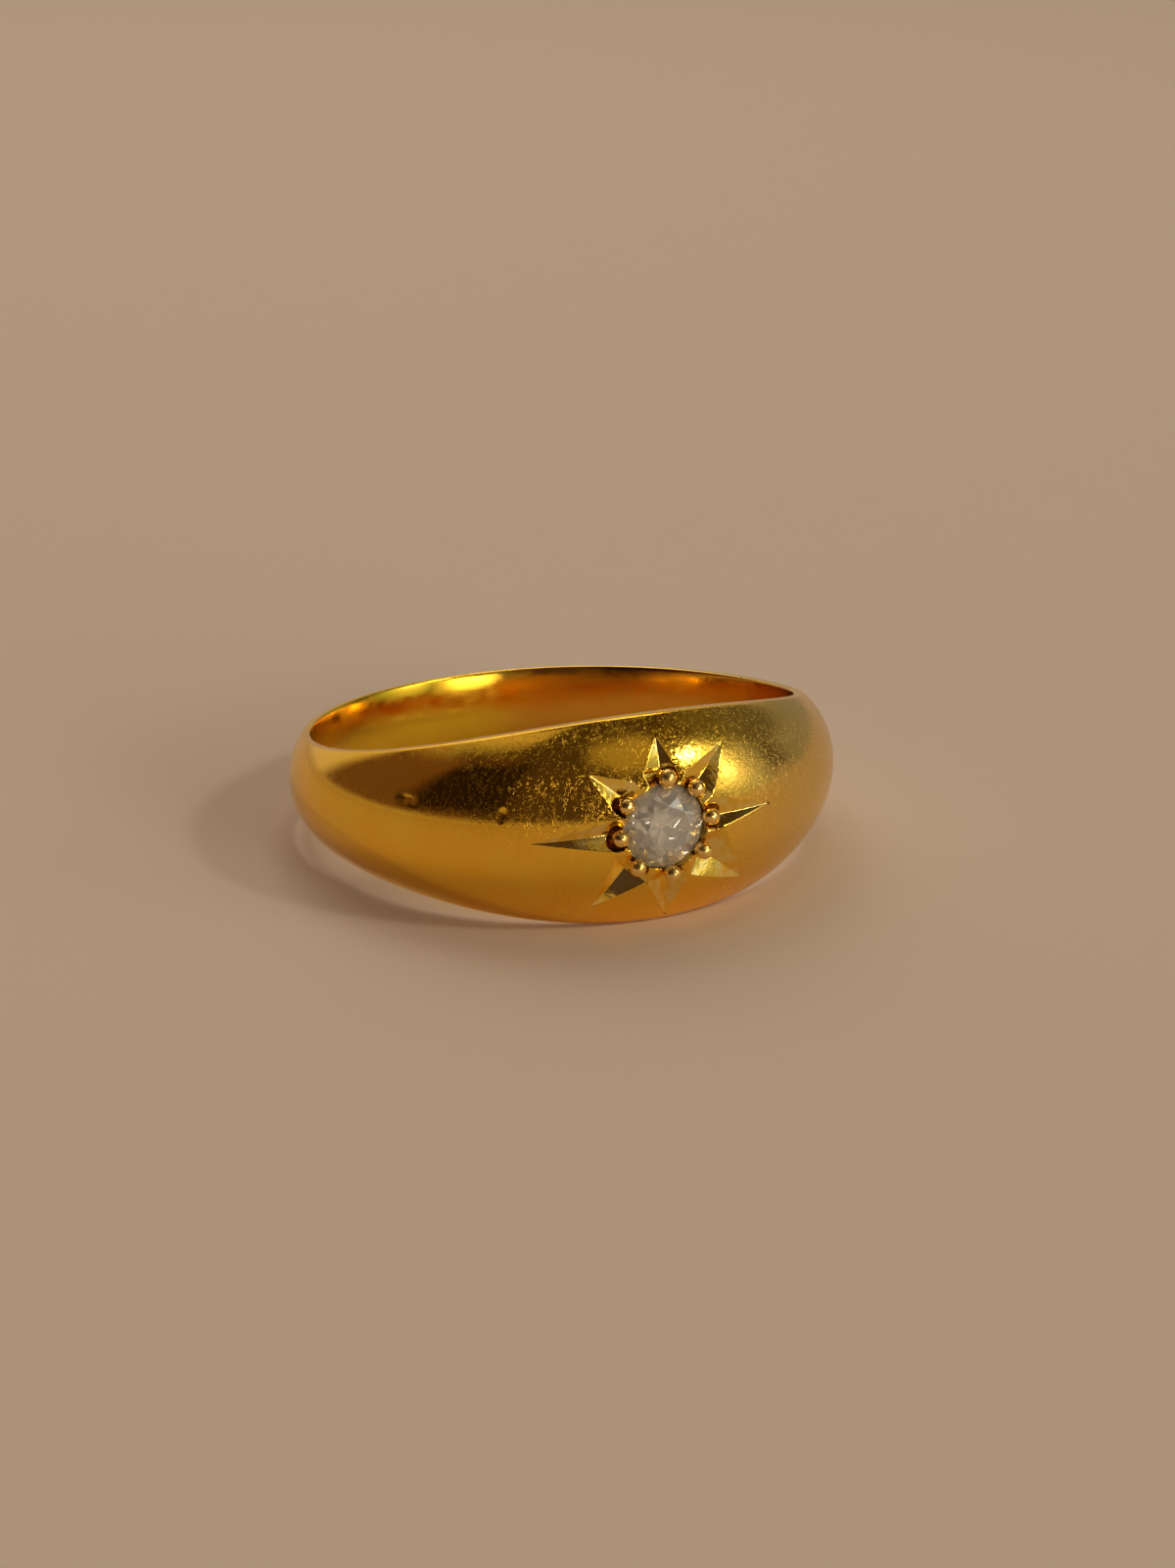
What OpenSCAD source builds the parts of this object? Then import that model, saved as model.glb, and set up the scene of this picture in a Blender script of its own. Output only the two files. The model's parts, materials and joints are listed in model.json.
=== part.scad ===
// Flush set ring: a gold shank that swells to a dome at the front, with one round stone sunk level with it.
// Eight rays cut into the dome make a star round the stone, and a raised bead in each ray holds it down.
// Every size is in millimetres. The ring lies on its side, on its front and back rims, as it comes to rest.

/* [Finger hole] */
// Inside diameter of the ring
bore_d = 17.2; // [15:0.1:21]
// Bevel where the finger hole meets each rim
bore_bevel = 0.12; // [0.06:0.01:0.2]

/* [Shank] */
// Width along the finger at the front
front_w = 7.1; // [6.6:0.1:9]
// Width along the finger at the back
back_w = 2.9; // [2:0.1:4.5]
// Wall at the crown of the dome
front_t = 2.05; // [1.9:0.05:2.6]
// Wall at the crown of the back
back_t = 0.84; // [0.7:0.02:1.4]
// Wall at the two rims
rim_t = 0.43; // [0.26:0.01:0.6]
// How fast the width falls away from the front, as a power
width_taper = 3; // [1.5:0.1:5]
// How fast the wall thins away from the front, as a power
wall_taper = 2.3; // [1:0.1:4]

/* [Stone] */
// Diameter of the stone at its girdle
stone_d = 2.86; // [2.4:0.02:3.1]
// Width of the table across its corners
table_d = 1.54; // [1.1:0.02:2]
// Height of the crown, from the girdle to the table
crown_h = 0.55; // [0.4:0.01:0.65]
// Height of the girdle
girdle_h = 0.06; // [0.03:0.01:0.12]
// Depth of the pavilion, from the girdle to the culet
pavilion_h = 1.14; // [0.9:0.02:1.25]
// Width of the small flat at the bottom of the stone
culet_d = 0.24; // [0.1:0.02:0.5]
// How far the table stands above the crown of the dome
table_rise = 0.03; // [-0.05:0.01:0.12]

/* [Star setting] */
// Longest ray, from the edge of the stone to its tip
ray_len = 3.15; // [2.4:0.05:3.6]
// Depth of a ray at its deepest, below the dome beside it
ray_depth = 0.4; // [0.25:0.01:0.5]
// Angle between the two walls of a ray
ray_vee = 124; // [100:1:130]
// From the edge of the stone to the deepest part of a ray
ray_root = 0.55; // [0.45:0.01:0.7]
// Diameter of the beads
bead_d = 0.52; // [0.4:0.01:0.6]
// Diameter of the hole behind the stone
back_hole_d = 1.2; // [0.8:0.05:1.6]
// Gap between the stone and its seat
seat_gap = 0.03; // [0.02:0.005:0.06]
// Gap between the stone and each bead
bead_gap = 0.025; // [0.02:0.005:0.05]

/* [Hidden] */

// Columns of the star's table, one row for each ray, counted from the right and turning upwards
RAY_ANGLE = 0; // direction of the ray from the stone, 0 to the right and 90 up
RAY_SHARE = 1; // length of the ray, as a share of the longest
BEAD_TURN = 2; // how far the bead stands round from the ray, in degrees
RAYS = [
    [0, 0.86, 5],
    [41, 0.70, 5],
    [86, 0.45, 0],
    [141, 0.54, 6],
    [182, 1, 4],
    [228, 0.61, 2],
    [276, 0.54, 0],
    [325, 0.81, -2],
];

bore_r = bore_d / 2;
dome_r = bore_r + front_t;
stone_r = stone_d / 2;
bead_r = bead_d / 2;
back_hole_r = back_hole_d / 2;

// Smoothness of the swept shank, and of the round cuts
stations = 96;
crown_steps = 14;
round_fn = 96;
bead_fn = 32;

// Depths below the crown of the dome
table_y = -table_rise;
girdle_y = crown_h - table_rise;
girdle_low_y = girdle_y + girdle_h;
culet_y = girdle_low_y + pavilion_h;

// How far cutters run past what they cut, and how far roots run into the metal
over = 0.3;
root_grip = 0.2;
// Inner end of a ray, as a share of the stone's radius, so that the cuts meet inside the seat
ray_end = 0.8;
// Depth of a ray half-way to its tip, as a share of its deepest, which draws its sides in
ray_taper = 0.5;
// Where a bead leans over the stone, measured up from the girdle's plane
bead_lean = 47;
// Radius of a bead's root, as a share of the bead's
root_share = 0.88;

// The cut of the stone: eight main facets, so a facet's middle and its corner are half a step apart
mains = 8;
step = 360 / mains;
half_step = step / 2;
// How far the star facets and the lower facets reach from the table and the girdle
star_share = 0.35;
lower_share = 0.6;

// The angle at which the ring rests: the front stands on the inner edge of its rim, the back on its outer edge
rest_tilt = atan((front_w - back_w) / 2 / (bore_r + bore_bevel + bore_r + rim_t));
rest_z = front_w / 2 * cos(rest_tilt) - (bore_r + bore_bevel) * sin(rest_tilt);

// Share of the way from the back's size to the front's, at an angle round from the front
function swell(angle, power) = pow((1 + cos(angle)) / 2, power);
function half_width(angle) = (back_w + (front_w - back_w) * swell(angle, width_taper)) / 2;
function wall(angle) = back_t + (front_t - back_t) * swell(angle, wall_taper);

// The outside of a section is one arc from rim to rim: its radius, and its centre's distance from the axis
function arc_r(angle) =
    let (half = half_width(angle), rise = wall(angle) - rim_t)
    (half * half + rise * rise) / (2 * rise);
function arc_centre(angle) = bore_r + wall(angle) - arc_r(angle);

// Depth of the dome's surface below its crown, at a place across the ring and up from its middle
function dome_y(x, z) =
    let (angle = asin(x / dome_r), out = arc_centre(angle) + sqrt(pow(arc_r(angle), 2) - z * z))
    dome_r - sqrt(out * out - x * x);

// The middle of the ring's length from front to back, once it is tilted
front_y = arc_centre(0) * cos(rest_tilt) + arc_r(0);
back_y = arc_centre(180) * cos(rest_tilt) + arc_r(180);
mid_y = (back_y - front_y) / 2;

// Lays the ring on its side, with its lowest points at zero
module at_rest() {
    translate([0, -mid_y, rest_z])
        rotate([-rest_tilt, 0, 0])
            children();
}

// Puts the stone's own axis through the front of the dome, with depths running inwards
module at_setting() {
    translate([0, -dome_r, 0])
        rotate([90, 0, 0])
            children();
}

// One section of the shank, as distance from the axis and height, from the finger hole round the outside
function section(angle) =
    let (
        half = half_width(angle),
        sweep = asin(half / arc_r(angle)),
        inner = [bore_r - over, half - bore_bevel - over],
        rim = [bore_r + bore_bevel, half]
    )
    concat(
        [[inner[0], -inner[1]], [rim[0], -rim[1]]],
        [for (i = [0 : crown_steps])
            let (turn = sweep * (2 * i / crown_steps - 1))
            [arc_centre(angle) + arc_r(angle) * cos(turn), arc_r(angle) * sin(turn)]],
        [rim, inner]
    );

module shank() {
    count = crown_steps + 5;
    points = [
        for (s = [0 : stations - 1])
            let (angle = s * 360 / stations)
            for (p = section(angle))
                [p[0] * sin(angle), -p[0] * cos(angle), p[1]]
    ];
    faces = [
        for (s = [0 : stations - 1])
            for (i = [0 : count - 1])
                let (
                    a = s * count + i,
                    b = s * count + (i + 1) % count,
                    c = (s + 1) % stations * count + (i + 1) % count,
                    d = (s + 1) % stations * count + i
                )
                for (f = [[a, b, c], [a, c, d]])
                    f
    ];
    polyhedron(points = points, faces = faces);
}

// Depth of the dome's surface out along a ray and to one side of it
function beside(angle, out, side) =
    dome_y(out * cos(angle) - side * sin(angle), out * sin(angle) + side * cos(angle));

// The V of a ray where its bottom lies at a depth, leaning as the dome beside it does
function vee(angle, out, depth) =
    let (
        lean = atan((beside(angle, out, -over) - beside(angle, out, over)) / (2 * over)),
        arm = 2 * ray_depth / cos(ray_vee / 2),
        left = lean + 90 - ray_vee / 2,
        right = lean + 90 + ray_vee / 2
    )
    [
        [out, 0, -depth],
        [out, arm * cos(left), arm * sin(left) - depth],
        [out, arm * cos(right), arm * sin(right) - depth],
    ];

// One ray: level under the stone's edge, deepest just outside it, and rising to a point on the dome
module ray(row) {
    angle = row[RAY_ANGLE];
    deep = stone_r + ray_root;
    tip = stone_r + ray_len * row[RAY_SHARE];
    half = (deep + tip) / 2;
    half_y = beside(angle, half, 0) + ray_depth * ray_taper;
    tip_y = beside(angle, tip, 0);
    slope = (half_y - tip_y) / (tip - half);
    valley = [
        [stone_r * ray_end, girdle_y],
        [stone_r, girdle_y],
        [deep, beside(angle, deep, 0) + ray_depth],
        [half, half_y],
        [tip + over, tip_y - slope * over],
    ];
    last = 3 * (len(valley) - 1);
    points = [for (v = valley) for (p = vee(angle, v[0], v[1])) p];
    walls = [
        for (s = [0 : 3 : last - 1])
            for (i = [0 : 2])
                let (a = s + i, b = s + (i + 1) % 3)
                for (f = [[a, b + 3, b], [a, a + 3, b + 3]])
                    f
    ];
    rotate([0, 0, angle])
        polyhedron(points = points, faces = concat([[0, 1, 2]], walls, [[last, last + 2, last + 1]]));
}

// Places a bead's centre just clear of the edge of the stone, and leaning over it
module at_bead(row) {
    reach = bead_r + bead_gap;
    rotate([0, 0, row[RAY_ANGLE] + row[BEAD_TURN]])
        translate([stone_r + reach * cos(bead_lean), 0, reach * sin(bead_lean) - girdle_y])
            children();
}

// The metal that a bead was raised from
module bead_root() {
    depth = bead_d + ray_depth + root_grip;
    translate([0, 0, -depth])
        cylinder(h = depth, r = bead_r * root_share, $fn = bead_fn);
}

// The corners of the stone, as distance from its axis and depth
main_slope = pavilion_h / (stone_r - culet_d / 2);
crown_slope = crown_h / (stone_r - table_d / 2);
star_flat = table_d / 2 + star_share * (stone_r - table_d / 2);
lower_flat = stone_r - lower_share * (stone_r - culet_d / 2);
STAR = [star_flat / cos(half_step), table_y + (star_flat - table_d / 2) * crown_slope];
LOWER = [lower_flat / cos(half_step), girdle_low_y + (stone_r - lower_flat) * main_slope];
CULET = [culet_d / 2 / cos(half_step), culet_y];

// The seat follows the stone's own profile, and opens into the hole behind it
module seat() {
    hole_y = girdle_low_y + (stone_r - (back_hole_r - seat_gap) * cos(half_step)) * main_slope;
    seat_r = stone_r + seat_gap;
    rotate_extrude($fn = round_fn)
        polygon([
            [0, over],
            [seat_r, over],
            [seat_r, -girdle_low_y],
            [LOWER[0] + seat_gap, -LOWER[1]],
            [back_hole_r, -hole_y],
            [back_hole_r, -front_t - over],
            [0, -front_t - over],
        ]);
}

// The whole metal part is one solid: shank, dome, cut star, seat and raised beads
module band() {
    color([0.83, 0.6, 0.2])
        at_rest() {
            difference() {
                union() {
                    difference() {
                        shank();
                        at_setting()
                            for (row = RAYS)
                                ray(row);
                    }
                    at_setting()
                        for (row = RAYS)
                            at_bead(row)
                                bead_root();
                }
                cylinder(h = front_w + 2 * over, r = bore_r, center = true, $fn = 2 * round_fn);
                at_setting()
                    seat();
            }
            at_setting()
                for (row = RAYS)
                    at_bead(row)
                        sphere(r = bead_r, $fn = bead_fn);
        }
}

// A ring of the stone's corners, each a place given as distance and depth
function ring(place, count, first) =
    [for (i = [0 : count - 1])
        let (angle = first + i * 360 / count)
        [place[0] * cos(angle), place[0] * sin(angle), -place[1]]];

// Old brilliant cut: table, star, kite and upper facets above the girdle, lower and main facets below it
module stone() {
    points = concat(
        ring([table_d / 2, table_y], mains, 0),
        ring(STAR, mains, half_step),
        ring([stone_r, girdle_y], 2 * mains, 0),
        ring([stone_r, girdle_low_y], 2 * mains, 0),
        ring(LOWER, mains, half_step),
        ring(CULET, mains, half_step)
    );
    star = mains;
    upper = 2 * mains;
    under = 4 * mains;
    lower = 6 * mains;
    culet = 7 * mains;
    around = [
        for (k = [0 : mains - 1])
            let (
                next = (k + 1) % mains,
                back = (k + mains - 1) % mains,
                edge = 2 * k,
                mid = 2 * k + 1,
                ahead = 2 * next
            )
            for (f = [
                [k, next, star + k],
                [k, star + k, upper + edge, star + back],
                [star + k, upper + mid, upper + edge],
                [star + k, upper + ahead, upper + mid],
                [upper + edge, upper + mid, under + mid, under + edge],
                [upper + mid, upper + ahead, under + ahead, under + mid],
                [lower + k, under + edge, under + mid],
                [lower + k, under + mid, under + ahead],
                [under + edge, lower + k, culet + k, culet + back, lower + back],
            ])
                f
    ];
    table = [for (k = [mains - 1 : -1 : 0]) k];
    bottom = [for (k = [0 : mains - 1]) culet + k];
    color([0.78, 0.76, 0.72, 0.6])
        at_rest()
            at_setting()
                polyhedron(points = points, faces = concat([table], around, [bottom]));
}

band();
stone();
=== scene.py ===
import json
import math

import bmesh
import bpy
from bpy.props import FloatProperty, FloatVectorProperty, PointerProperty
from mathutils import Matrix, Vector


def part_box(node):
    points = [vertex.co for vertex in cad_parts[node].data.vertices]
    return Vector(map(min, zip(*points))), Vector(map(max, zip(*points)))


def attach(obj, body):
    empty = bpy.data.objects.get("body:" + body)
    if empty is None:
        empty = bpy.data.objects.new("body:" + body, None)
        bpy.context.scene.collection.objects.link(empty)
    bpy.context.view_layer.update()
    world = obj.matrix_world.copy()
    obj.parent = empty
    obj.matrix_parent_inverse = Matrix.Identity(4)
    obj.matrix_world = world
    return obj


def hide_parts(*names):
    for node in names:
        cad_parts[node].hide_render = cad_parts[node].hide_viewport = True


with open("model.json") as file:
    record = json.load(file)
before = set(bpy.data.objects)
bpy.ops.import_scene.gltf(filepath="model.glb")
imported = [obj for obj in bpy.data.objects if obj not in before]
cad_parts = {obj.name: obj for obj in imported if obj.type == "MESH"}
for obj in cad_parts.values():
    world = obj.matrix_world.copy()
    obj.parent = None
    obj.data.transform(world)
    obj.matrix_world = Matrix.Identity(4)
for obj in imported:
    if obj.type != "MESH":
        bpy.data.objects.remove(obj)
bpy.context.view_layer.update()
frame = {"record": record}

bl_info = {
    "name": "Flush Set Ring",
    "version": (1, 0, 0),
    "blender": (4, 5, 0),
    "location": "3D View > Sidebar > Ring",
    "description": "Models a domed gold ring with a star set stone, and lights it on a pale floor",
    "category": "Add Mesh",
}

FINGER_BORE = next(m for m in frame["record"]["mounts"] if m["name"] == "finger_bore")
RING_CENTRE = Vector(FINGER_BORE["pos_m"])
RING_AXIS = Vector(FINGER_BORE["axis"])
STONE_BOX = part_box("stone")

# Pieces are made on the bench in millimetres, with the ring upright on its axis and the dome towards -Y.
# Places nearer to each other than NEAR are one. What has more than the share MOSTLY of its length along
# an axis runs along it.
MM = 0.001
NEAR = 1e-4
MOSTLY = 0.5
TURN = 2 * math.pi

# The star, counted from the right and turning upwards. Each ray has its direction in degrees, its share
# of the ray length, the angle between its walls, its share of the ray depth, how far the graver was
# rolled to one side, how its bottom curves up to the tip, how far round from it its bead stands, and its
# share of the bead's size
RAY_COLUMNS = ("angle", "share", "vee", "depth", "roll", "curve", "bead_turn", "bead_share")
RAYS = (
    (2, 0.86, 108, 1.1, -9, 1.0, 3, 0.98),
    (45, 0.72, 124, 1.0, 0, 1.0, 1, 1.0),
    (89, 0.50, 122, 0.95, -5, 1.0, -3, 1.06),
    (141, 0.60, 122, 1.05, 0, 1.0, 6, 0.96),
    (182, 1.10, 114, 1.05, 0, 1.2, 4, 1.0),
    (227, 0.74, 104, 1.7, 4, 1.0, 3, 0.98),
    (275, 0.64, 106, 1.5, 4, 1.0, 1, 0.97),
    (322, 0.85, 120, 1.7, -4, 1.0, 1, 1.03),
)

# Facets of the stone: eight mains, and how far the star and lower facets reach
MAINS = 8
FACET_STEP = TURN / MAINS
STAR_SHARE = 0.35
LOWER_SHARE = 0.6


def mm(length):
    """A size in metres, as a user sets it, in the bench's millimetres."""
    return length / MM


class ShankSizes(bpy.types.PropertyGroup):
    """Sizes of the shank and its dome, and of their wear"""

    front_width: FloatProperty(
        name="Front width", description="Width along the finger at the dome",
        default=7.1 * MM, unit="LENGTH")
    back_width: FloatProperty(
        name="Back width", description="Width along the finger at the back",
        default=2.9 * MM, unit="LENGTH")
    front_wall: FloatProperty(
        name="Front wall", description="Wall at the crown of the dome",
        default=2.05 * MM, unit="LENGTH")
    back_wall: FloatProperty(
        name="Back wall", description="Wall at the crown of the back",
        default=0.84 * MM, unit="LENGTH")
    rim_wall: FloatProperty(
        name="Rim", description="Wall at the two rims",
        default=0.43 * MM, unit="LENGTH")
    rim_round: FloatProperty(
        name="Rim rounding", description="Rounding of the rims' edges",
        default=0.07 * MM, unit="LENGTH")
    rim_wear: FloatProperty(
        name="Rim wear", description="Share of the rims that is worn away at the back",
        default=0.2, subtype="FACTOR")
    bore_wear: FloatProperty(
        name="Bore wear", description="How far the bore's edges are rounded away at the back",
        default=0.17 * MM, unit="LENGTH")
    width_taper: FloatProperty(
        name="Width taper", description="How fast the width falls away from the front, as a power",
        default=3)
    wall_taper: FloatProperty(
        name="Wall taper", description="How fast the wall thins away from the front, as a power",
        default=2.3)


class StarSizes(bpy.types.PropertyGroup):
    """Sizes of the engraved star, its beads and the stone's seat"""

    ray_length: FloatProperty(
        name="Ray length", description="Length of a whole ray, from the stone's edge",
        default=3.15 * MM, unit="LENGTH")
    ray_depth: FloatProperty(
        name="Ray depth", description="Depth of a ray below the dome",
        default=0.4 * MM, unit="LENGTH")
    ray_root: FloatProperty(
        name="Ray root", description="From the stone's edge to a ray's deepest part",
        default=0.38 * MM, unit="LENGTH")
    bead_size: FloatProperty(
        name="Bead", description="Diameter of the beads",
        default=0.6 * MM, unit="LENGTH")
    hole_size: FloatProperty(
        name="Back hole", description="Diameter of the hole behind the stone",
        default=1.2 * MM, unit="LENGTH")
    seat_gap: FloatProperty(
        name="Seat gap", description="Gap between stone and seat",
        default=0.03 * MM, unit="LENGTH")


class StoneSizes(bpy.types.PropertyGroup):
    """Sizes of the stone's cut"""

    table: FloatProperty(
        name="Table", description="Width of the table across its corners",
        default=1.54 * MM, unit="LENGTH")
    crown: FloatProperty(
        name="Crown", description="Height from the girdle to the table",
        default=0.55 * MM, unit="LENGTH")
    girdle: FloatProperty(
        name="Girdle", description="Height of the girdle",
        default=0.06 * MM, unit="LENGTH")
    pavilion: FloatProperty(
        name="Pavilion", description="Depth from the girdle to the culet",
        default=1.14 * MM, unit="LENGTH")
    culet: FloatProperty(
        name="Culet", description="Width of the flat at the bottom",
        default=0.24 * MM, unit="LENGTH")
    rise: FloatProperty(
        name="Table rise", description="How far the table stands above the dome",
        default=0.03 * MM, unit="LENGTH")


class FinishColours(bpy.types.PropertyGroup):
    """Colours of the gold, the stone and the floor"""

    gold: FloatVectorProperty(
        name="Gold", description="Colour of the polished gold",
        subtype="COLOR", size=3, default=(1.0, 0.60, 0.06))
    stone: FloatVectorProperty(
        name="Stone", description="Tint of the stone",
        subtype="COLOR", size=3, default=(1.0, 0.96, 0.83))
    floor: FloatVectorProperty(
        name="Floor", description="Colour of the floor",
        subtype="COLOR", size=3, default=(0.80, 0.64, 0.515))


def bench_only():
    """Leaves nothing selected, because an operator acts on all that is."""
    if bpy.context.object and bpy.context.object.mode != "OBJECT":
        bpy.ops.object.mode_set(mode="OBJECT")
    bpy.ops.object.select_all(action="DESELECT")


def take_up(obj):
    """Makes one object the only selected one, and active."""
    bench_only()
    obj.select_set(True)
    bpy.context.view_layer.objects.active = obj


def newly_made(name):
    """Names the primitive that was just added, and gives its place and size to its mesh."""
    obj = bpy.context.object
    obj.name = name
    obj.data.name = name
    bpy.ops.object.transform_apply(location=True, rotation=True, scale=True)
    return obj


def edit_all():
    """Goes into edit mode with the whole mesh selected."""
    bpy.ops.object.mode_set(mode="EDIT")
    bpy.ops.mesh.select_all(action="SELECT")


def pick(kind, test):
    """Selects what passes the test in the mesh being edited: its vertices, edges or faces."""
    bpy.context.tool_settings.mesh_select_mode = tuple(kind == k for k in ("verts", "edges", "faces"))
    bm = bmesh.from_edit_mesh(bpy.context.edit_object.data)
    for group in (bm.verts, bm.edges, bm.faces):
        for part in group:
            part.select = False
    bm.select_mode = {{"verts": "VERT", "edges": "EDGE", "faces": "FACE"}[kind]}
    for part in getattr(bm, kind):
        if test(part):
            part.select_set(True)
    bm.select_flush_mode()
    bmesh.update_edit_mesh(bpy.context.edit_object.data)


def along(edge, axis):
    """Whether an edge runs along one axis of the bench."""
    run = edge.verts[1].co - edge.verts[0].co
    return abs(run[axis]) > MOSTLY * run.length


def finish_with(obj, kind, **settings):
    """Puts a modifier on an object and applies it."""
    take_up(obj)
    modifier = obj.modifiers.new(kind.title(), kind)
    for key, value in settings.items():
        setattr(modifier, key, value)
    bpy.ops.object.modifier_apply(modifier=modifier.name)


def cut_from(obj, tool):
    """Cuts a tool's shape out of an object, and puts the tool away."""
    finish_with(obj, "BOOLEAN", operation="DIFFERENCE", object=tool, solver="MANIFOLD")
    bpy.data.meshes.remove(tool.data)


def fuse_to(obj, addition):
    """Fuses another piece of metal to an object."""
    finish_with(obj, "BOOLEAN", operation="UNION", object=addition, solver="MANIFOLD")
    bpy.data.meshes.remove(addition.data)


class Shank:
    """The ring's form in millimetres, as a width and a wall at each angle round from the front."""

    def __init__(self, sizes):
        self.bore = FINGER_BORE["dims"]["r_mm"]
        self.front = (mm(sizes.front_width) / 2, mm(sizes.front_wall))
        self.back = (mm(sizes.back_width) / 2, mm(sizes.back_wall))
        self.rim = mm(sizes.rim_wall)
        self.rounding = mm(sizes.rim_round)
        self.rim_wear = sizes.rim_wear
        self.bore_wear = mm(sizes.bore_wear)
        self.tapers = (sizes.width_taper, sizes.wall_taper)
        self.dome = self.bore + self.front[1]

    def half_and_wall(self, angle):
        """Half the width, and the wall at the crown, at an angle round from the front."""
        near = (1 + math.cos(angle)) / 2
        return [b + (f - b) * near ** t for f, b, t in zip(self.front, self.back, self.tapers)]

    def arc(self, angle):
        """Radius of the outside of a section, and its centre's distance from the ring's axis."""
        half, wall = self.half_and_wall(angle)
        rise = wall - self.rim
        radius = (half * half + rise * rise) / (2 * rise)
        return radius, self.bore + wall - radius

    def depth(self, across, up):
        """Depth of the dome's surface below its crown, across the ring and up from its middle."""
        radius, centre = self.arc(math.asin(across / self.dome))
        out = centre + math.sqrt(radius * radius - up * up)
        return self.dome - math.sqrt(out * out - across * across)

    def outward(self, across, up):
        """The way the dome's surface faces there."""
        step = 10 * NEAR
        sideways = self.depth(across + step, up) - self.depth(across - step, up)
        upwards = self.depth(across, up + step) - self.depth(across, up - step)
        return Vector((sideways, -2 * step, upwards)).normalized()


# Sections along the bar, and rows of faces across its outside and its inside
STATIONS = 72
CROWN_ROWS = 12
BORE_ROWS = 6
# An edge that turns more than this is one of the rims', and a face that looks along the bar by more than
# this share is one of its ends
RIM_ANGLE = math.radians(35)
END_FACING = 0.9


def forge_blank(form):
    """A straight bar, as long as the finger hole is round, domed outside and tapered to its ends."""
    length = TURN * form.bore
    half, wall = form.front
    bench_only()
    bpy.ops.mesh.primitive_cube_add(
        size=1, location=(0, -form.rim / 2, 0), scale=(length, form.rim, 2 * half))
    bar = newly_made("gold_band")
    bpy.ops.object.mode_set(mode="EDIT")
    pick("edges", lambda e: along(e, 0))
    bpy.ops.mesh.subdivide(number_cuts=STATIONS - 1)
    pick("edges", lambda e: along(e, 2) and all(v.co.y < -form.rim / 2 for v in e.verts))
    bpy.ops.mesh.subdivide(number_cuts=CROWN_ROWS - 1)
    pick("edges", lambda e: along(e, 2) and all(v.co.y > -form.rim / 2 for v in e.verts))
    bpy.ops.mesh.subdivide(number_cuts=BORE_ROWS - 1)

    # The inside rounds away towards its two edges
    for row in range(BORE_ROWS + 1):
        off_middle = 2 * row / BORE_ROWS - 1
        pick("verts", lambda v: v.co.y > -form.rim / 2 and abs(v.co.z - half * off_middle) < NEAR)
        bpy.ops.transform.translate(value=(0, -form.bore_wear * off_middle ** 2, 0))

    # The outside rises to one arc from rim to rim
    radius, _ = form.arc(0)
    sweep = math.asin(half / radius)
    for row in range(1, CROWN_ROWS):
        off_middle = 2 * row / CROWN_ROWS - 1
        level = half * off_middle
        turn = sweep * off_middle
        pick("verts", lambda v: v.co.y < -form.rim / 2 and abs(v.co.z - level) < NEAR)
        lift = radius * math.cos(turn) - radius + wall - form.rim
        bpy.ops.transform.translate(value=(0, -lift, radius * math.sin(turn) - level))

    # Each section gets the width, wall and wear of its place, and the bar's two ends are the ring's back
    for station in range(STATIONS + 1):
        place = length * (station / STATIONS - 0.5)
        here_half, here_wall = form.half_and_wall(place / form.bore)
        pick("verts", lambda v: abs(v.co.x - place) < NEAR)
        bpy.ops.transform.resize(value=(1, 1, here_half / half), center_override=(place, 0, 0))
        rise = (here_wall - form.rim) / (wall - form.rim)
        pick("verts", lambda v: abs(v.co.x - place) < NEAR and v.co.y < -form.rim - NEAR)
        bpy.ops.transform.resize(value=(1, rise, 1), center_override=(place, -form.rim, 0))
        back = (1 - math.cos(place / form.bore)) / 2
        pick("verts", lambda v: abs(v.co.x - place) < NEAR and v.co.y > -form.rim / 2)
        bpy.ops.transform.resize(value=(1, back, 1), center_override=(place, 0, 0))
        thinner = form.rim * form.rim_wear * back
        pick("verts", lambda v: abs(v.co.x - place) < NEAR and v.co.y < NEAR - form.rim)
        bpy.ops.transform.resize(
            value=(1, 1 + thinner / (here_wall - form.rim), 1), center_override=(place, -here_wall, 0))
    return bar


def bend_round(bar, form):
    """Bends the bar round into the ring, closes its joint and rounds its rims."""
    bpy.ops.object.mode_set(mode="EDIT")
    pick("faces", lambda f: abs(f.normal.x) > END_FACING)
    bpy.ops.mesh.delete(type="FACE")
    pick("edges", lambda e: e.calc_face_angle(0) > RIM_ANGLE)
    bpy.ops.mesh.bevel(offset=form.rounding, segments=2, affect="EDGES", clamp_overlap=False)
    finish_with(bar, "SIMPLE_DEFORM", deform_method="BEND", deform_axis="Z", angle=TURN)
    edit_all()
    bpy.ops.mesh.remove_doubles(threshold=10 * NEAR)
    bpy.ops.transform.translate(value=(0, -form.bore, 0))
    bpy.ops.mesh.normals_make_consistent(inside=False)
    finish_with(bar, "SUBSURF", levels=2, render_levels=2)


def at_setting(obj, angle, form):
    """Puts a tool in its place. It is made with the dome's outward direction as Y and a ray's as Z."""
    side = Vector((-math.sin(angle), 0, math.cos(angle)))
    outward = Vector((0, -1, 0))
    ray = Vector((math.cos(angle), 0, math.sin(angle)))
    place = Matrix((side, outward, ray)).transposed().to_4x4()
    place.translation = -form.dome * Vector((0, 1, 0))
    take_up(obj)
    obj.matrix_world = place
    bpy.ops.object.transform_apply(location=True, rotation=True, scale=True)


# How far tools run past what they cut, and the steps of a ray's groove, which starts over the seat at a
# share of the stone's radius
OVER = 0.3
ROOT_STEPS = 4
GROOVE_STEPS = 10
GROOVE_START = 0.8
# The section of a groove's tool is a triangle, so many times as high as the rays are deep. It starts with
# equal sides: its height as a share of its radius, and the lean of its walls
TOOL_HEIGHT = 2.5
TRIANGLE_HEIGHT = 1.5
TRIANGLE_LEAN = math.radians(30)


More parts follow.
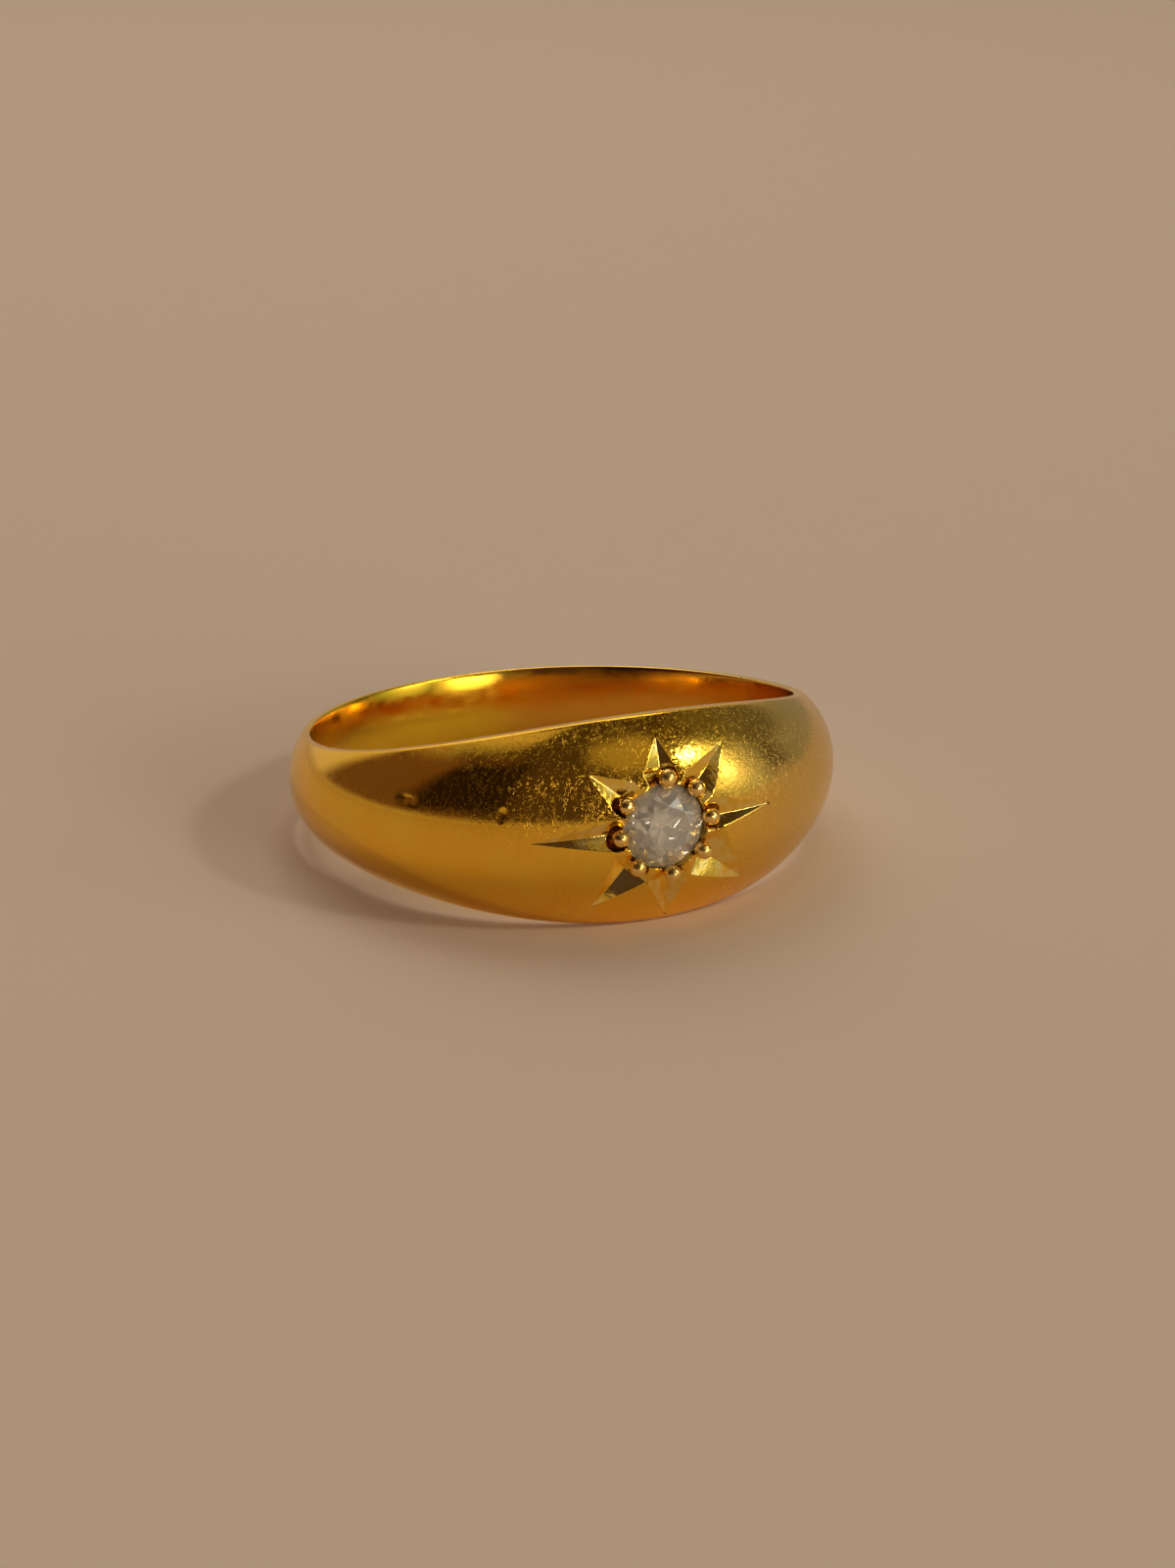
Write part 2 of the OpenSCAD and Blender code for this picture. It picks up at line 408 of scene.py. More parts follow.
def valley(form, star, stone, ray):
    """The bottom of a ray's groove: its distance from the stone's axis and its depth below the crown."""
    angle = math.radians(ray["angle"])
    tip = stone.radius + star.ray_length * ray["share"]
    deep = stone.radius + star.ray_root

    def depth(out):
        below = form.depth(out * math.cos(angle), out * math.sin(angle))
        left = (tip - out) / (tip - deep)
        rise = left ** ray["curve"] if left > 0 else left
        return below + star.ray_depth * ray["depth"] * rise

    rows = [(GROOVE_START * stone.radius, stone.girdle_top), (stone.radius, stone.girdle_top)]
    for step in range(1, ROOT_STEPS):
        ease = step / ROOT_STEPS
        out = stone.radius + (deep - stone.radius) * ease
        rows.append((out, stone.girdle_top + (depth(deep) - stone.girdle_top) * ease))
    for step in range(GROOVE_STEPS + 1):
        out = deep + (tip + OVER - deep) * step / GROOVE_STEPS
        rows.append((out, depth(out)))
    return rows


def groove_tool(form, star, stone, ray):
    """A graver's cut for one ray: a V that is deepest near the stone and rises to a point on the dome."""
    rows = valley(form, star, stone, ray)
    angle, roll, vee = [math.radians(ray[c]) for c in ("angle", "roll", "vee")]
    size = TOOL_HEIGHT * star.ray_depth / TRIANGLE_HEIGHT
    spread = math.tan(vee / 2) / math.tan(TRIANGLE_LEAN)

    def lean(out):
        """How far the dome slopes to one side of the ray, with the graver's roll."""
        low, high = [
            form.depth(
                out * math.cos(angle) - side * math.sin(angle),
                out * math.sin(angle) + side * math.cos(angle))
            for side in (-OVER, OVER)]
        return math.atan((low - high) / (2 * OVER)) + roll

    out, depth = rows[0]
    bench_only()
    bpy.ops.mesh.primitive_circle_add(
        vertices=3, radius=size, fill_type="NGON", location=(0, size - depth, out),
        rotation=(0, 0, math.pi))
    tool = newly_made("groove_tool")
    edit_all()
    bpy.ops.transform.resize(value=(spread, 1, 1), center_override=(0, -depth, out))
    turned = 0
    for (out, depth), (was_out, was_depth) in zip(rows[1:], rows):
        bpy.ops.mesh.extrude_region_move(
            TRANSFORM_OT_translate={"value": (0, was_depth - depth, out - was_out)})
        bpy.ops.transform.rotate(
            value=turned - lean(out), orient_axis="Z", center_override=(0, -depth, out))
        turned = lean(out)
    bpy.ops.mesh.select_all(action="SELECT")
    bpy.ops.mesh.normals_make_consistent(inside=False)
    at_setting(tool, angle, form)
    return tool


# Sides of the seat and the stone's girdle, sides of a bead and its stem, and a bead's rings
ROUND_SIDES = 96
BEAD_SIDES = 32
BEAD_RINGS = 20


def turned_tool(name, profile):
    """A round tool, turned on the stone's axis from a profile of radii and heights above the crown."""
    radius, height = profile[0]
    bench_only()
    bpy.ops.mesh.primitive_circle_add(
        vertices=ROUND_SIDES, radius=radius, fill_type="NGON", location=(0, -height, 0),
        rotation=(math.pi / 2, 0, 0))
    tool = newly_made(name)
    edit_all()
    for (radius, height), (was_radius, was_height) in zip(profile[1:], profile):
        bpy.ops.mesh.extrude_region_move(TRANSFORM_OT_translate={"value": (0, was_height - height, 0)})
        bpy.ops.transform.resize(
            value=(radius / was_radius, 1, radius / was_radius), center_override=(0, -height, 0))
    bpy.ops.mesh.select_all(action="SELECT")
    bpy.ops.mesh.normals_make_consistent(inside=False)
    bench_only()
    return tool


def drop_in(tool, form):
    """Moves a tool made at the origin to the crown of the dome."""
    take_up(tool)
    tool.location = (0, -form.dome, 0)
    bpy.ops.object.transform_apply(location=True, rotation=True, scale=True)


class Star:
    """The star's sizes on the bench, in millimetres."""

    def __init__(self, sizes):
        self.ray_length = mm(sizes.ray_length)
        self.ray_depth = mm(sizes.ray_depth)
        self.ray_root = mm(sizes.ray_root)
        self.bead = mm(sizes.bead_size) / 2
        self.hole = mm(sizes.hole_size) / 2
        self.gap = mm(sizes.seat_gap)


class Stone:
    """The stone's sizes on the bench, in millimetres: radii, and depths below the crown of the dome."""

    def __init__(self, sizes):
        self.radius = mm(STONE_BOX[1][0] - STONE_BOX[0][0]) / 2
        self.table = mm(sizes.table) / 2
        self.culet = mm(sizes.culet) / 2
        self.table_top = -mm(sizes.rise)
        self.girdle_top = self.table_top + mm(sizes.crown)
        self.girdle_low = self.girdle_top + mm(sizes.girdle)
        self.tip = self.girdle_low + mm(sizes.pavilion)


# Where a bead leans over the stone, up from the girdle's plane, and its clearance from the stone
BEAD_LEAN = math.radians(52)
BEAD_GAP = 0.025
# Each bead is out of round by up to this share, and differs from the one before by this step of a wave
BEAD_UNEVEN = 0.05
UNEVEN_STEP = 2.4
# The cup that rounds a bead leaves a hollow about it, this much wider than the bead and set this far out
CUP_SHARE = 1.42
CUP_SHIFT = 0.09
# The stem under a bead: its width as a share of the bead's, and its length
ROOT_SHARE = 0.88
ROOT_LENGTH = 1.1
# Faces this close to a ball and no larger than this belong to it, and one that turns this far from the
# dome is a cut's
SKIN = 0.016
SMALL_FACE = 0.016
CUT_ANGLE = math.radians(14)
# The band's materials, by their places in its list
ON_DOME, IN_HOLLOW, ON_BEAD, IN_BORE, IN_CUT = range(5)
# Corners nearer to each other than this are slivers that the cuts leave. A burr stands out by more than
# this, and is rubbed down in so many passes
SLIVER = 0.006
BURR = 0.015
BURR_PASSES = 12


def ball_tool(name, radius, out, height, angle, form, squash=1):
    """A ball at a distance from the stone's axis and a height above the crown."""
    bench_only()
    bpy.ops.mesh.primitive_uv_sphere_add(
        segments=BEAD_SIDES, ring_count=BEAD_RINGS, radius=radius, location=(0, height, out))
    ball = newly_made(name)
    edit_all()
    bpy.ops.transform.resize(value=(squash, 1, 1 / squash), center_override=(0, height, out))
    at_setting(ball, angle, form)
    return ball


def root_tool(radius, out, height, angle, form):
    """The stem of metal that a bead was raised from."""
    bench_only()
    bpy.ops.mesh.primitive_cylinder_add(
        vertices=BEAD_SIDES, radius=radius, depth=ROOT_LENGTH,
        location=(0, height - ROOT_LENGTH / 2, out), rotation=(math.pi / 2, 0, 0))
    stem = newly_made("root_tool")
    at_setting(stem, angle, form)
    return stem


def cut_star(band, form, star, stone):
    """Cuts the rays, rounds the beads' hollows, bores the seat and raises the beads."""
    beads = []
    for row in RAYS:
        ray = dict(zip(RAY_COLUMNS, row))
        angle = math.radians(ray["angle"])
        cut_from(band, groove_tool(form, star, stone, ray))
        bead = star.bead * ray["bead_share"]
        reach = bead + BEAD_GAP
        beads.append((
            bead,
            stone.radius + reach * math.cos(BEAD_LEAN),
            reach * math.sin(BEAD_LEAN) - stone.girdle_top,
            angle + math.radians(ray["bead_turn"])))
    for bead, out, height, angle in beads:
        cut_from(band, ball_tool("cup_tool", CUP_SHARE * bead, out + CUP_SHIFT, height, angle, form))
    for bead, out, height, angle in beads:
        fuse_to(band, root_tool(ROOT_SHARE * bead, out, height, angle, form))

    seat = stone.radius + star.gap
    slope = (stone.tip - stone.girdle_low) / (stone.radius - stone.culet)
    hole_top = stone.girdle_low + (seat - star.hole) * slope
    through = form.front[1] + OVER
    seat_tool = turned_tool("seat_tool", (
        (seat, OVER), (seat, -stone.girdle_low), (star.hole, -hole_top), (star.hole, -through)))
    drop_in(seat_tool, form)
    cut_from(band, seat_tool)
    for number, (bead, out, height, angle) in enumerate(beads):
        squash = 1 + BEAD_UNEVEN * math.sin(number * UNEVEN_STEP)
        fuse_to(band, ball_tool("bead", bead, out, height, angle, form, squash))
    take_up(band)
    edit_all()
    bpy.ops.mesh.remove_doubles(threshold=SLIVER)
    bench_only()
    return beads


def ball_centre(out, height, angle, form):
    """The centre of a ball, from its distance from the stone's axis and its height above the crown."""
    return Vector((out * math.cos(angle), -form.dome - height, out * math.sin(angle)))


def share_out_finishes(band, beads, form):
    """Gives the hollows round the beads, the beads, the bore and the cuts their own finishes, which carry
    dirt and painted shade in the hollows, painted shade in the bore and painted highlights on the beads
    and the cuts.
    """
    balls = [
        (IN_HOLLOW, CUP_SHARE * bead, ball_centre(CUP_SHIFT + out, height, angle, form))
        for bead, out, height, angle in beads]
    balls += [
        (ON_BEAD, bead, ball_centre(out, height, angle, form))
        for bead, out, height, angle in beads]
    for face in band.data.polygons:
        middle, normal = face.center, face.normal
        face.material_index = ON_DOME
        if math.hypot(middle.x, middle.y) < form.bore + form.bore_wear:
            if middle.xy.dot(normal.xy) < 0 and abs(normal.z) < MOSTLY:
                face.material_index = IN_BORE
        elif middle.y < -form.bore:
            half, _ = form.half_and_wall(math.asin(middle.x / form.dome))
            turned = normal.angle(form.outward(middle.x, middle.z))
            if abs(middle.z) < half - OVER and turned > CUT_ANGLE:
                face.material_index = IN_CUT
        for finish, radius, centre in balls:
            if abs((middle - centre).length - radius) < SKIN and face.area < SMALL_FACE:
                face.material_index = finish


def rub_down_burrs(band, beads, form):
    """Rubs down the few points that rounding the arrises leaves standing out of the dome."""
    def is_burr(vert):
        if vert.co.y > -form.bore or abs(vert.co.z) > form.front[0] - OVER:
            return False
        out_by = form.depth(vert.co.x, vert.co.z) - form.dome - vert.co.y
        return out_by > BURR and all(
            (vert.co - ball_centre(out, height, angle, form)).length > bead + 2 * BURR
            for bead, out, height, angle in beads)

    take_up(band)
    bpy.ops.object.mode_set(mode="EDIT")
    pick("verts", is_burr)
    bpy.ops.mesh.vertices_smooth(factor=1, repeat=BURR_PASSES)
    bench_only()


def set_down(obj):
    """Moves a finished piece from the bench to its place in the frame, in metres."""
    take_up(obj)
    obj.scale = (MM, MM, MM)
    obj.rotation_euler = (-math.atan2(RING_AXIS.y, RING_AXIS.z), 0, 0)
    obj.location = RING_CENTRE
    bpy.ops.object.transform_apply(location=True, rotation=True, scale=True)


# The rounding that wear gives to the arrises of the cuts, and how sharp an edge has to be to have one
ARRIS_ROUND = 0.024
ARRIS_ANGLE = math.radians(24)


class RING_OT_band(bpy.types.Operator):
    """Forges the shank, cuts the star and the seat in its dome, and raises the beads"""

    bl_idname = "ring.band"
    bl_label = "Band"

    def execute(self, context):
        scene = context.scene
        form, star, stone = Shank(scene.ring_shank), Star(scene.ring_star), Stone(scene.ring_stone)
        band = forge_blank(form)
        bend_round(band, form)
        beads = cut_star(band, form, star, stone)
        finishes = (
            polished_gold(scene.ring_finish), soiled_gold(), burnished_gold(), worn_bore(), bright_cut())
        band.data.materials.clear()
        for material in finishes:
            band.data.materials.append(material)
        share_out_finishes(band, beads, form)
        finish_with(
            band, "BEVEL", width=ARRIS_ROUND, segments=3, limit_method="ANGLE", angle_limit=ARRIS_ANGLE,
            use_clamp_overlap=False, harden_normals=False)
        rub_down_burrs(band, beads, form)
        set_down(band)
        bpy.ops.object.shade_smooth_by_angle(angle=ARRIS_ANGLE)
        finish_with(band, "WEIGHTED_NORMAL", keep_sharp=True)
        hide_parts("band")
        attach(band, "root")
        return {"FINISHED"}


# A place inside the stone, below the crown, that every facet leaves standing
STONE_HEART = Vector((0, 0.8, 0))


def cut_facet(*corners):
    """Grinds one flat, through three of its corners, and keeps the side towards the stone's heart."""
    first, second, third = [Vector(c) for c in corners]
    normal = (second - first).cross(third - first).normalized()
    if normal.dot(first - STONE_HEART) < 0:
        normal = -normal
    bpy.ops.mesh.select_all(action="SELECT")
    bpy.ops.mesh.bisect(plane_co=first, plane_no=normal, use_fill=True, clear_outer=True)


def around(radius, depth, *angles):
    """Places round the stone's axis, at a depth below the crown."""
    return [(radius * math.cos(angle), depth, radius * math.sin(angle)) for angle in angles]


def cut_stone(stone):
    """An old brilliant cut: table, stars, kites and upper facets over lower facets, mains and a culet."""
    cut = turned_tool("cut_stone", ((stone.radius, -stone.table_top), (stone.radius, -stone.tip)))
    take_up(cut)
    bpy.ops.object.mode_set(mode="EDIT")
    half_step = FACET_STEP / 2
    crown_slope = (stone.girdle_top - stone.table_top) / (stone.radius - stone.table)
    star_flat = stone.table + STAR_SHARE * (stone.radius - stone.table)
    star_depth = stone.table_top + (star_flat - stone.table) * crown_slope
    star_radius = star_flat / math.cos(half_step)
    main_slope = (stone.tip - stone.girdle_low) / (stone.radius - stone.culet)
    lower_flat = stone.radius - LOWER_SHARE * (stone.radius - stone.culet)
    lower_depth = stone.girdle_low + (stone.radius - lower_flat) * main_slope
    lower_radius = lower_flat / math.cos(half_step)
    for number in range(MAINS):
        angle = number * FACET_STEP
        sides = (angle - half_step, angle + half_step)
        table, next_table = around(stone.table, stone.table_top, angle, angle + FACET_STEP)
        star_left, star_right = around(star_radius, star_depth, *sides)
        edge, edge_left, edge_right = around(stone.radius, stone.girdle_top, angle, *sides)
        cut_facet(table, edge, star_right)
        cut_facet(table, next_table, star_right)
        cut_facet(star_left, edge, edge_left)
        cut_facet(star_right, edge, edge_right)
        low_left, low_right = around(lower_radius, lower_depth, *sides)
        edge, edge_left, edge_right = around(stone.radius, stone.girdle_low, angle, *sides)
        cut_facet(edge, low_left, low_right)
        cut_facet(low_left, edge, edge_left)
        cut_facet(low_right, edge, edge_right)
    bpy.ops.mesh.select_all(action="SELECT")
    bpy.ops.mesh.remove_doubles(threshold=NEAR)
    bpy.ops.mesh.normals_make_consistent(inside=False)
    bench_only()
    return cut


class RING_OT_stone(bpy.types.Operator):
    """Grinds the facets of the stone and sets it in its seat"""

    bl_idname = "ring.stone"
    bl_label = "Stone"

    def execute(self, context):
        scene = context.scene
        cut = cut_stone(Stone(scene.ring_stone))
        drop_in(cut, Shank(scene.ring_shank))
        set_down(cut)
        cut.data.materials.clear()
        cut.data.materials.append(clear_stone(scene.ring_finish))
        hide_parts("stone")
        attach(cut, "root")
        return {"FINISHED"}


def feed(tree, socket, value):
    """Links a socket to another node's output, or sets it to a value."""
    if isinstance(value, bpy.types.NodeSocket):
        tree.links.new(value, socket)
    else:
        socket.default_value = value


def add_node(tree, kind, inputs=None, **settings):
    """Adds a node, sets its options, and links or sets its inputs."""
    node = tree.nodes.new(kind)
    for key, value in settings.items():
        setattr(node, key, value)
    for key, value in (inputs or {}).items():
        feed(tree, node.inputs[key], value)
    return node


def combine(tree, operation, first, second=0.0, third=0.0):
    """One sum of a Math node, as its output."""
    inputs = {0: first, 1: second, 2: third}
    return add_node(tree, "ShaderNodeMath", inputs, operation=operation).outputs[0]


def between(tree, value, low, high, start=0.0, end=1.0):
    """A smooth step of a value from low to high."""
    return add_node(tree, "ShaderNodeMapRange", {
        "Value": value, "From Min": low, "From Max": high, "To Min": start, "To Max": end},
        interpolation_type="SMOOTHSTEP").outputs["Result"]


# The colour sockets of a Mix node, which are told by number because several have the same name
MIX_SHARE, MIX_FIRST, MIX_SECOND = 0, 6, 7
MIX_RESULT = 2


def mix_colours(tree, share, first, second):
    """A share of the way from one colour to another."""
    inputs = {MIX_SHARE: share, MIX_FIRST: first, MIX_SECOND: second}
    return add_node(tree, "ShaderNodeMix", inputs, data_type="RGBA").outputs[MIX_RESULT]


def new_material(name):
    """A new material, its node tree and its shader."""
    material = bpy.data.materials.new(name)
    material.use_nodes = True
    return material, material.node_tree, material.node_tree.nodes["Principled BSDF"]


def dress_gold(tree, shader, tone, roughness, height=None, relief=0.0):
    """Gives gold its colour and its roughness, and a height of its surface a relief in metres."""
    feed(tree, shader.inputs["Base Color"], tone)
    feed(tree, shader.inputs["Roughness"], roughness)
    feed(tree, shader.inputs["Metallic"], 1)
    if height is not None:
        bump = add_node(tree, "ShaderNodeBump", {"Strength": 1.0, "Distance": relief, "Height": height})
        feed(tree, shader.inputs["Normal"], bump.outputs["Normal"])


def even(size):
    """The same size each way."""
    return (size, size, size)


def in_millimetres(tree, turn=(0, 0, 0), size=even(1)):
    """The piece's own coordinates in millimetres, turned and divided by a size each way."""
    coords = add_node(tree, "ShaderNodeTexCoord")
    scale = [1 / (MM * s) for s in size]
    turned = add_node(tree, "ShaderNodeMapping", {
        "Vector": coords.outputs["Object"], "Rotation": [math.radians(t) for t in turn]})
    return add_node(tree, "ShaderNodeMapping", {
        "Vector": turned.outputs["Vector"], "Scale": scale}).outputs["Vector"]


def across_ring(tree):
    """How far to the right of the ring's middle a place is, in millimetres."""
    return add_node(tree, "ShaderNodeSeparateXYZ", {"Vector": in_millimetres(tree)}).outputs["X"]


def grain(tree, size, detail=2.0, turn=(0, 0, 0)):
    """Noise of a size in millimetres."""
    return add_node(tree, "ShaderNodeTexNoise", {
        "Vector": in_millimetres(tree, turn, size), "Scale": 1.0, "Detail": detail}).outputs["Fac"]


# The middle of the noise, and the span that it seldom leaves
NOISE_MIDDLE = 0.5
NOISE_SPAN = (0.3, 0.7)

# Directions of the scratches on the band, and the length, spacing, width and share of each set. A scratch
# lasts for a part of its length, and its ends fade over this much of the noise
SCRATCH_SETS = (
    ((0, 84, 0), 4.0, 0.060, 0.022, 0.48),
    ((0, 70, 8), 3.0, 0.075, 0.018, 0.42),
    ((0, 104, -6), 3.5, 0.075, 0.018, 0.42),
    ((0, 10, 4), 6.0, 0.12, 0.018, 0.38),
)
SCRATCH_PARTS = 3
SCRATCH_FADE = 0.06

# The small dents on the band: the spacing, width and share of each set
PIT_SETS = (
    (0.15, 0.45, 0.24),
    (0.33, 0.35, 0.18),
)

# The two knocks on the dome to the left of the star: where they are, and how far they reach each way. The
# size of their ragged edges, and how far those move in and out
DINGS = (
    ((-7.69, -5.65, 4.36), (0.70, 0.70, 0.26)),
    ((-5.20, -8.23, 4.37), (0.22, 0.22, 0.36)),
)
DING_PATCH = 0.45
DING_EDGE = (0.88, 1.12)


def scratches(tree, turn, length, spacing, width, share):
    """Fine lines along one direction, broken up, as one where the metal is scratched."""
    field = grain(tree, (length, spacing, spacing), detail=1.0, turn=turn)
    away = combine(tree, "ABSOLUTE", combine(tree, "SUBTRACT", field, NOISE_MIDDLE))
    line = between(tree, away, width, 0.0)
    part = (length / SCRATCH_PARTS, spacing * 2, spacing * 2)
    parts = grain(tree, part, detail=1.0, turn=turn)
    kept = between(tree, parts, 1 - share, 1 + SCRATCH_FADE - share)
    return combine(tree, "MULTIPLY", line, kept)


def pits(tree, spacing, width, share):
    """Tiny dents, one here and there, as one in their middles."""
    cells = add_node(tree, "ShaderNodeTexVoronoi", {
        "Vector": in_millimetres(tree, size=even(spacing)), "Scale": 1.0})
    chosen = add_node(tree, "ShaderNodeSeparateColor", {"Color": cells.outputs["Color"]}).outputs["Red"]
    kept = combine(tree, "LESS_THAN", chosen, share)
    return combine(tree, "MULTIPLY", kept, between(tree, cells.outputs["Distance"], width, 0.0))


def ding(tree, place, size):
    """One dent at a place in millimetres, as one in its middle."""
    away = in_millimetres(tree)
    for operation, second in (("SUBTRACT", place), ("DIVIDE", size)):
        inputs = {0: away, 1: second}
        away = add_node(tree, "ShaderNodeVectorMath", inputs, operation=operation).outputs[0]
    length = add_node(tree, "ShaderNodeVectorMath", {0: away}, operation="LENGTH").outputs["Value"]
    uneven = between(tree, grain(tree, even(DING_PATCH), detail=1.0), *NOISE_SPAN, *DING_EDGE)
    return between(tree, combine(tree, "MULTIPLY", length, uneven), 1.0, 0.0)


# How the polished gold changes across the ring: from one place to another in millimetres, the marks of
# handling, the unevenness of the surface and the haze go from one share to another. The haze also takes
# its part off the unevenness, and carries a duller, darker tone that paints shade on the right of the dome
HANDLED = (-8.0, -4.5, 0.25, 1.0)
RUBBED = (-3.5, 1.0, 1.0, 4.0)
HAZE_AND_PAINTED_SHADE = (0.5, 6.5, 0.0, 1.0)
HAZE_CALMS = -2.8
# Sizes of its patches, in millimetres: of wear, of the swell and the peel of its surface, and of specks
WEAR_PATCH = 1.6
SWELL_PATCH = 1.1
PEEL_PATCH = (0.17, 0.17, 0.12)
SPECK_PATCH = 0.07
# Its relief, in metres, and the heights of the swell, the lines, the marks and the knocks as shares of it
POLISH_RELIEF = 0.0022 * MM
SWELL_HEIGHT = 2.0
LINE_DEPTH = 0.8
MARK_HEIGHT = -1.1
DING_HEIGHT = -15.0
# Its roughness: of the plain metal, and what lines, specks and haze add to it
ROUGHNESS = 0.07
LINE_ROUGHNESS = 0.06
SPECK_ROUGHNESS = (0.06, 0.24)
HAZE_ROUGHNESS = 0.10
SPECK_SPAN = (0.52, 0.66)
# Its deeper tone, as shares of its colour, where the noise of the wear is in this span
DEEPER = (1.0, 0.93, 0.8)
DEEPER_SPAN = (0.35, 0.7)
# Its tone where it is hazy, duller and darker: painted shade on the right of the dome
PAINTED_SHADE_TONE = (0.84, 0.56, 0.15, 1)


def polished_gold(finish):
    """Old polished gold: fine scratches, small dents, and a surface that is never quite even."""
    material, tree, shader = new_material("polished_gold")
    lines = 0.0
    for scratch_set in SCRATCH_SETS:
        lines = combine(tree, "MAXIMUM", lines, scratches(tree, *scratch_set))
    across = across_ring(tree)
    handled, rubbed, haze_and_shade = [between(tree, across, *change) for change in (HANDLED, RUBBED, HAZE_AND_PAINTED_SHADE)]
    rubbed = combine(tree, "MULTIPLY_ADD", haze_and_shade, HAZE_CALMS, rubbed)
    worn = grain(tree, even(WEAR_PATCH), detail=3.0)
    swell = grain(tree, even(SWELL_PATCH), detail=1.0)
    peel = combine(tree, "MULTIPLY", grain(tree, PEEL_PATCH, detail=3.0), rubbed)
    dents = combine(tree, "ADD", *[pits(tree, *pit_set) for pit_set in PIT_SETS])
    marks = combine(tree, "MAXIMUM", combine(tree, "MULTIPLY", lines, LINE_DEPTH), dents)
    marks = combine(tree, "MULTIPLY", marks, handled)
    height = combine(tree, "MULTIPLY_ADD", swell, SWELL_HEIGHT, combine(tree, "MULTIPLY", peel, handled))
    height = combine(tree, "MULTIPLY_ADD", marks, MARK_HEIGHT, height)
    for place, size in DINGS:
        height = combine(tree, "MULTIPLY_ADD", ding(tree, place, size), DING_HEIGHT, height)

    specks = between(tree, grain(tree, even(SPECK_PATCH), detail=1.0), *SPECK_SPAN)
    specks = combine(tree, "MULTIPLY", specks, between(tree, worn, *NOISE_SPAN, *SPECK_ROUGHNESS))
    rough = combine(tree, "MULTIPLY_ADD", lines, LINE_ROUGHNESS, ROUGHNESS)
    rough = combine(tree, "MULTIPLY_ADD", specks, handled, rough)
    rough = combine(tree, "MULTIPLY_ADD", haze_and_shade, HAZE_ROUGHNESS, rough)

    deeper = [part * share for part, share in zip(finish.gold, DEEPER)]
    tone = mix_colours(tree, between(tree, worn, *DEEPER_SPAN), (*finish.gold, 1), (*deeper, 1))
    # Painted shade: the tone turns duller and darker towards the right of the dome
    tone = mix_colours(tree, haze_and_shade, tone, PAINTED_SHADE_TONE)
    dress_gold(tree, shader, tone, rough, height, POLISH_RELIEF)
    return material


# The dirt and painted shade in the hollows round the beads: its patches in millimetres, the span of their
# noise from thin to thick, and its roughness and its tones where it is thin and where it is thick. The
# dark tones are partly old dirt, partly painted shade
DIRT_AND_SHADE_PATCH = 0.2
DIRT_AND_SHADE_SPAN = (0.35, 0.65)
SOILED_ROUGHNESS = (0.25, 0.6)
DIRT_AND_SHADE_TONES = ((0.42, 0.19, 0.04, 1), (0.07, 0.030, 0.012, 1))


def soiled_gold():
    """The gold in the hollows round the beads, dull and dark with old dirt and with painted shade."""
    material, tree, shader = new_material("soiled_gold")
    dirt_and_shade = between(tree, grain(tree, even(DIRT_AND_SHADE_PATCH)), *DIRT_AND_SHADE_SPAN)
    rough = between(tree, dirt_and_shade, 0.0, 1.0, *SOILED_ROUGHNESS)
    # The dark tone is painted shade in the hollows as well as dirt
    dress_gold(tree, shader, mix_colours(tree, dirt_and_shade, *DIRT_AND_SHADE_TONES), rough)
    return material


# The beads: their patches in millimetres, the roughness and the tones that these go between, the tones
# paler than the gold to paint the beads' highlights, and their relief in metres
BEAD_PATCH = 0.12
BEAD_ROUGHNESS = (0.14, 0.34)
BEAD_PAINTED_HIGHLIGHT_TONES = ((1.0, 0.70, 0.26, 1), (0.98, 0.62, 0.14, 1))
BEAD_RELIEF = 0.012 * MM


def burnished_gold():
    """The gold of the beads, rubbed soft by wear, in a pale tone that paints their highlights."""
    material, tree, shader = new_material("burnished_gold")
    rubbed = grain(tree, even(BEAD_PATCH))
    rough = between(tree, rubbed, *NOISE_SPAN, *BEAD_ROUGHNESS)
    # The pale tones are painted highlights on the beads
    dress_gold(tree, shader, mix_colours(tree, rubbed, *BEAD_PAINTED_HIGHLIGHT_TONES), rough, rubbed, BEAD_RELIEF)
    return material


# The bore: its patches and its fine lines in millimetres, from where to where its tone deepens to the
# right as painted shade, by what share the patches deepen it too as stains, the roughness and the tones
# that it goes between, and its relief in metres
BORE_PATCH = (0.9, 0.9, 0.5)
BORE_LINES = (0.6, 0.6, 0.05)
BORE_PAINTED_SHADE = (-0.5, 3.0)
BORE_STAINS = (0.0, 0.18)
BORE_ROUGHNESS = (0.12, 0.26)
BORE_STAIN_AND_SHADE_TONES = ((1.0, 0.68, 0.04, 1), (0.86, 0.42, 0.05, 1))
BORE_RELIEF = 0.0012 * MM


def worn_bore():
    """The gold inside the shank, satin from years of wear, with a deeper colour to the right that is
    painted shade.
    """
    material, tree, shader = new_material("worn_bore")
    rubbed = grain(tree, BORE_PATCH, detail=3.0)
    lines = grain(tree, BORE_LINES)
    # Painted shade: the tone deepens towards the right of the bore
    painted_shade_to_right = between(tree, across_ring(tree), *BORE_PAINTED_SHADE)
    deeper = combine(tree, "MAXIMUM", painted_shade_to_right, between(tree, rubbed, *NOISE_SPAN, *BORE_STAINS))
    rough = between(tree, rubbed, *NOISE_SPAN, *BORE_ROUGHNESS)
    dress_gold(tree, shader, mix_colours(tree, deeper, *BORE_STAIN_AND_SHADE_TONES), rough, lines, BORE_RELIEF)
    return material


